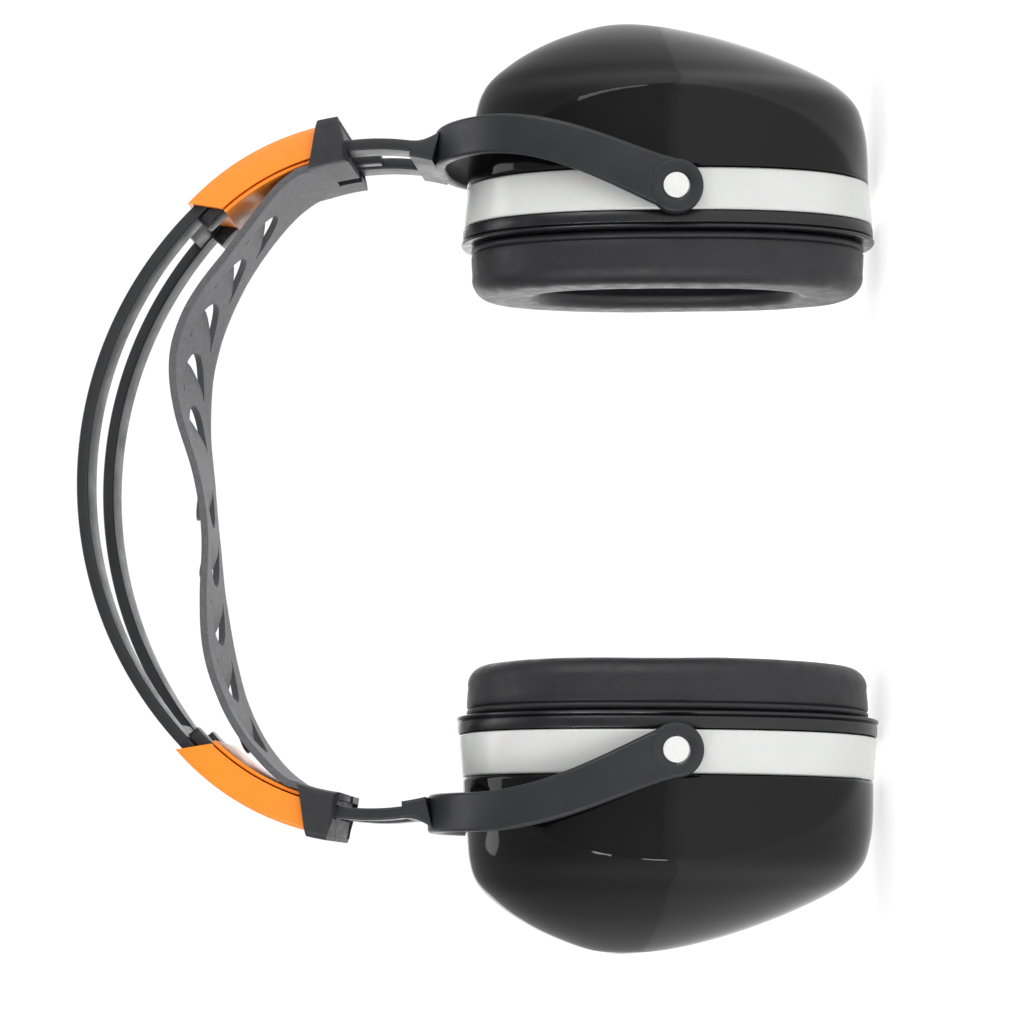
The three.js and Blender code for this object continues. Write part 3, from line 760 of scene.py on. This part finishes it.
def base_plate(name, side):
    """The black rim: a band flush with the ring, a groove, and a thin flange."""
    section = [
        (-9.5, -1.1), (-9.5, 0.1), (-9.35, 0.35), (-9.0, 0.42), (-8.75, 0.3), (-8.65, -0.3),
        (-8.45, -0.45), (-8.25, -0.3), (-8.1, 0), (-7.9, 0.1), (-5.75, 0), (-5.45, -0.15), (-5.35, -0.5),
    ]
    profile = [(x, CUP_LENGTH + out, CUP_DEPTH + out) for x, out in section]
    profile += [(-5.35, EAR_LENGTH + 1, EAR_DEPTH + 1), (-9.5, EAR_LENGTH + 1, EAR_DEPTH + 1)]
    piece = make(f"{name}_rim", [flip(hoop(profile), side)], "rim", 35)
    place(piece, f"{name}_cup", f"{name}_base_plate")


DOME = [
    (5.65, -49.4, 53.2, 42.9), (14, -49.2, 52.8, 39.7), (20, -48.6, 52.1, 37.2),
    (25.5, -46.9, 51.5, 34.4), (30, -43, 50.2, 30), (33.5, -37.4, 47.8, 26.8),
    (37, -30.2, 43.8, 23), (40, -23, 39.4, 19.2), (43, -14.6, 33.8, 14.6),
    (45.6, -5.6, 27.4, 9.8), (47.4, 2.6, 21.6, 5.6), (48.2, 8.6, 17, 2.4),
]


def dome_levels(fine=10):
    """The dome's levels, filled in smoothly between the ones given."""
    knots = [Vector((x, low, high)).to_4d() for x, low, high, _ in DOME]
    for knot, row in zip(knots, DOME):
        knot.w = row[3]
    ends = [knots[0] * 2 - knots[1], *knots, knots[-1] * 2 - knots[-2]]
    levels = []
    for a, b, c, d in zip(ends, ends[1:], ends[2:], ends[3:]):
        for i in range(fine):
            t = i / fine
            turn = (c - a) * t + (a * 2 - b * 5 + c * 4 - d) * t * t + (b * 3 - a - c * 3 + d) * t ** 3
            levels.append(b + turn / 2)
    return [*levels, knots[-1]]


def wall_size(x):
    """The half length and half depth of the shell's wall, which limits the dome."""
    share = (x - 2.65) / (50 - 2.65)
    return CUP_LENGTH - 1 - 0.7 * share, CUP_DEPTH - 0.4 - 1.3 * share


def reach(middle, length, depth, centre, dz, dy, power):
    """How far an oval lies from a point inside it, in the direction (dz, dy)."""
    near, far = 0, 140
    for _ in range(36):
        tried = (near + far) / 2
        z, y = abs(centre + tried * dz - middle) / length, abs(tried * dy) / depth
        if z ** power + y ** power < 1:
            near = tried
        else:
            far = tried
    return near


def softly_lower(a, b, blend=0.12):
    """The lower of two values, with a rounded change from one to the other."""
    return (a + b - math.sqrt((a - b) ** 2 + blend ** 2)) / 2


def shell_level(level):
    x, low, high, depth = level
    centre = (low + high) / 2
    length, wall_depth = wall_size(x)
    row = []
    for i in range(AROUND):
        turn = 2 * math.pi * i / AROUND
        dz, dy = math.cos(turn) * (high - low) / 2, math.sin(turn) * depth
        size = math.hypot(dz, dy)
        dz, dy = dz / size, dy / size
        dome = reach(centre, (high - low) / 2, depth, centre, dz, dy, DOME_POWER)
        wall = reach(CUP_Z, length, wall_depth, centre, dz, dy, CUP_POWER)
        out = softly_lower(dome, wall) + 0.2 * math.exp(-(((dome - wall) / 0.55) ** 2))
        row.append(cup_point(x, out * dy, centre + out * dz, 1))
    return row


def cup_shell(name, side):
    levels = dome_levels()
    rows = [shell_level(level) for level in levels]
    points, faces = rings(rows)
    faces = faces[:-2] + [faces[-1]]
    piece = make(f"{name}_dome", [flip((points, faces), side)], "gloss", 60)
    wall = piece.modifiers.new("wall", "SOLIDIFY")
    wall.thickness = 2.2 * MM
    wall.offset = -1
    place(piece, f"{name}_cup", f"{name}_cup_shell")


def liner(name, side):
    """A foam bowl: up the hollow, over its mouth and round the outside."""
    hollow = [
        (20.8, 10, 5), (20.6, 14, 7.4), (19, 22.5, 11.6),
        (8, 29, 16.2), (-3.4, 33.6, 20), (-4.4, 34.4, 20.6),
    ]
    outside = [
        (-4.75, 35.6, 21.6), (-4.75, 46.8, 27), (-4.2, 48.2, 28.4),
        (17, 45.6, 27.6), (24, 40, 23.4), (32, 27, 13),
    ]
    middles = [CUP_Z] * 10 + [CUP_Z + 3, CUP_Z + 7]
    rows = [outline(*level, middle) for level, middle in zip(hollow + outside, middles)]
    piece = make(f"{name}_foam_bowl", [flip(rings(rows), side)], "foam", 60)
    place(piece, f"{name}_cup", f"{name}_foam_liner")


def cushion_profile(shrink=0):
    """The cushion's section: straight sides, a rounded brow, a crowned face and a welded seam."""
    back, face = -9.95, -23.2 + shrink
    wide = 19.2 - shrink
    hole = shrink
    section = [(back, 1.4), (back - 1, 0.5), (-13, hole + 0.1), (-16.5, hole), (-19, hole + 0.35)]
    section += round_edge(face + 4, hole + 4.2, 4, 262, 184, 6)
    section += [(face, 7.0), (face - 0.12, 9.6), (face, 12.6)]
    section += round_edge(face + 4.8, wide - 4.8, 4.8, 176, 95, 8)
    section += [(-17, wide - 0.1), (-14.2, wide + 0.1), (-12.3, wide + 0.15), (-11.9, wide - 0.05)]
    section += [(-11.65, wide - 0.4), (-11.4, wide - 0.05), (-11.0, wide + 0.2)]
    section += [(-10.4, wide + 0.1), (back, wide - 0.4)]
    return [(x, EAR_LENGTH + out, EAR_DEPTH + out * 16.6 / 19.3) for x, out in section]


SWELL_FOOT = -12.2
SWELL_FRAMES = 15
SWELL_PRESSURE = 4
SWELL_CAP = 1.0 * MM


def swell(piece):
    """Puffs the cushion up as its foam does, with its foot held to the plate."""
    foot = piece.vertex_groups.new(name="foot")
    side = 1 if piece.data.vertices[0].co.x > 0 else -1
    rest = [v.co.copy() for v in piece.data.vertices]
    for vertex in piece.data.vertices:
        local_x = (side * vertex.co.x / MM - PIVOT_X) * math.cos(TOE) - vertex.co.y / MM * math.sin(TOE)
        if local_x > SWELL_FOOT:
            foot.add([vertex.index], 1, "REPLACE")
    cloth = piece.modifiers.new("swell", "CLOTH")
    cloth.settings.vertex_group_mass = foot.name
    cloth.settings.use_pressure = True
    cloth.settings.uniform_pressure_force = SWELL_PRESSURE
    cloth.settings.effector_weights.gravity = 0
    cloth.settings.quality = 5
    cloth.settings.tension_stiffness = 40
    cloth.settings.compression_stiffness = 40
    cloth.settings.bending_stiffness = 4
    scene = bpy.context.scene
    for number in range(1, SWELL_FRAMES + 1):
        scene.frame_set(number)
    graph = bpy.context.evaluated_depsgraph_get()
    moved = piece.evaluated_get(graph).to_mesh()
    ended = [v.co.copy() for v in moved.vertices]
    piece.evaluated_get(graph).to_mesh_clear()
    piece.modifiers.remove(cloth)
    scene.frame_set(1)
    for vertex, was, now in zip(piece.data.vertices, rest, ended):
        step = now - was
        vertex.co = was + step * min(1, SWELL_CAP / max(step.length, 1e-9))
    piece.data.update()


def ruffle(piece, seed):
    """Low, slow unevenness, as soft vinyl over foam has."""
    shift = Vector((seed * 7.3, seed * 3.1, seed * 5.7))
    normals = [v.normal.copy() for v in piece.data.vertices]
    for vertex, normal in zip(piece.data.vertices, normals):
        slow = noise.noise(vertex.co * 45 + shift)
        quick = noise.noise(vertex.co * 120 + shift)
        vertex.co += normal * (0.22 * slow + 0.07 * quick) * MM
    piece.data.update()


def cushion(name, side):
    shell = flip(hoop(cushion_profile(0.6)), side)
    piece = make(f"{name}_cushion", [shell], "cushion", 60)
    swell(piece)
    ruffle(piece, 1 + side)
    place(piece, f"{name}_cup", f"{name}_ear_cushion")


def plain_foam(name):
    node = frame["nodes"][f"{name}_cushion_foam"]
    node.data.materials.clear()
    node.data.materials.append(FINISHES["foam"][0])


# ---------------------------------------------------------------- assembly

band_frame()
head_strap()
for name, side in SIDES.items():
    adjuster(name, side)
    yoke(name, side)
    pins(name, side)
    cup_shell(name, side)
    pivot_ring(name, side)
    base_plate(name, side)
    liner(name, side)
    cushion(name, side)
    plain_foam(name)


# ---------------------------------------------------------------- stage, light, camera

def floor():
    """A pale table, lit through from below as a product table is."""
    mesh = bpy.data.meshes.new("floor")
    low, far, near = CAD_BOX[0].z - 0.0005, 0.95, 6
    corners = [(-far, -near), (far, -near), (far, far), (-far, far)]
    mesh.from_pydata([(x, y, low) for x, y in corners], [], [(0, 1, 2, 3)])
    surface = Surface(
        "pale_floor", (0.5, 0.5, 0.5), 0.9,
        Emission_Color=(1, 1, 1, 1), Emission_Strength=0.72, Specular_IOR_Level=0,
    )
    surface.vary_colour(surface.noise(3), 0.99, 1.0)
    mesh.materials.append(surface.material)
    plane = bpy.data.objects.new("floor", mesh)
    bpy.context.scene.collection.objects.link(plane)


def sky():
    """A white sweep: as bright as the table at the horizon, dimmer higher up and in front."""
    world = bpy.data.worlds.new("studio")
    bpy.context.scene.world = world
    world.use_nodes = True
    nodes, links = world.node_tree.nodes, world.node_tree.links
    seen = nodes["Background"]
    seen.inputs["Strength"].default_value = 1.05
    soft = nodes.new("ShaderNodeBackground")
    for background in (seen, soft):
        background.inputs["Color"].default_value = (1, 1, 1, 1)
    parts = nodes.new("ShaderNodeSeparateXYZ")
    links.new(nodes.new("ShaderNodeTexCoord").outputs["Generated"], parts.inputs["Vector"])
    product = nodes.new("ShaderNodeMath")
    product.operation = "MULTIPLY"
    for slot, (axis, low, high, at_low, at_high) in enumerate((
        ("Z", 0, 0.8, 1, 0.55),
        ("Y", -0.95, 0.1, 0.66, 0.9),
    )):
        fade = nodes.new("ShaderNodeMapRange")
        fade.interpolation_type = "SMOOTHSTEP"
        for socket, value in zip(("From Min", "From Max", "To Min", "To Max"), (low, high, at_low, at_high)):
            fade.inputs[socket].default_value = value
        links.new(parts.outputs[axis], fade.inputs["Value"])
        links.new(fade.outputs["Result"], product.inputs[slot])
    links.new(product.outputs["Value"], soft.inputs["Strength"])
    mix = nodes.new("ShaderNodeMixShader")
    path = nodes.new("ShaderNodeLightPath")
    links.new(path.outputs["Is Camera Ray"], mix.inputs["Fac"])
    links.new(soft.outputs["Background"], mix.inputs[1])
    links.new(seen.outputs["Background"], mix.inputs[2])
    links.new(mix.outputs["Shader"], nodes["World Output"].inputs["Surface"])


def softbox(name, where, size, watts, aim=(0, 0, 0.04)):
    light = bpy.data.lights.new(name, "AREA")
    light.shape = "RECTANGLE"
    light.size, light.size_y = size
    light.energy = watts
    lamp = bpy.data.objects.new(name, light)
    lamp.location = where
    lamp.rotation_mode = "QUATERNION"
    lamp.rotation_quaternion = (Vector(aim) - Vector(where)).to_track_quat("-Z", "Y")
    bpy.context.scene.collection.objects.link(lamp)


def camera():
    """Looks along the headband's width, rolled so that the wearer's left cup is uppermost."""
    lens = bpy.data.cameras.new("camera")
    lens.sensor_width = 36
    lens.lens = 75.6
    eye = bpy.data.objects.new("camera", lens)
    forward = Vector((0.096, 0.9936, 0.0603)).normalized()
    upwards = Vector((0.9954, -0.0962, 0.0016))
    right = forward.cross(upwards).normalized()
    upwards = right.cross(forward)
    turned = Matrix((right, upwards, -forward)).transposed()
    eye.matrix_world = Matrix.Translation((-0.0605, -0.546, 0.0081)) @ turned.to_4x4()
    bpy.context.scene.collection.objects.link(eye)
    bpy.context.scene.camera = eye


floor()
sky()
softbox("left_front", (1.1, -1.0, 0.45), (0.9, 0.7), 7)
softbox("right_front_high", (-0.95, -0.95, 0.5), (0.45, 0.2), 3)
softbox("right_front_low", (-1.0, -0.95, 0.06), (0.45, 0.16), 2.4)
softbox("overhead", (0.1, 0.1, 1.3), (1.2, 0.8), 7)
softbox("behind", (0.0, 1.3, 0.3), (1.6, 0.8), 5)
bpy.context.scene.view_settings.view_transform = "Standard"
camera()
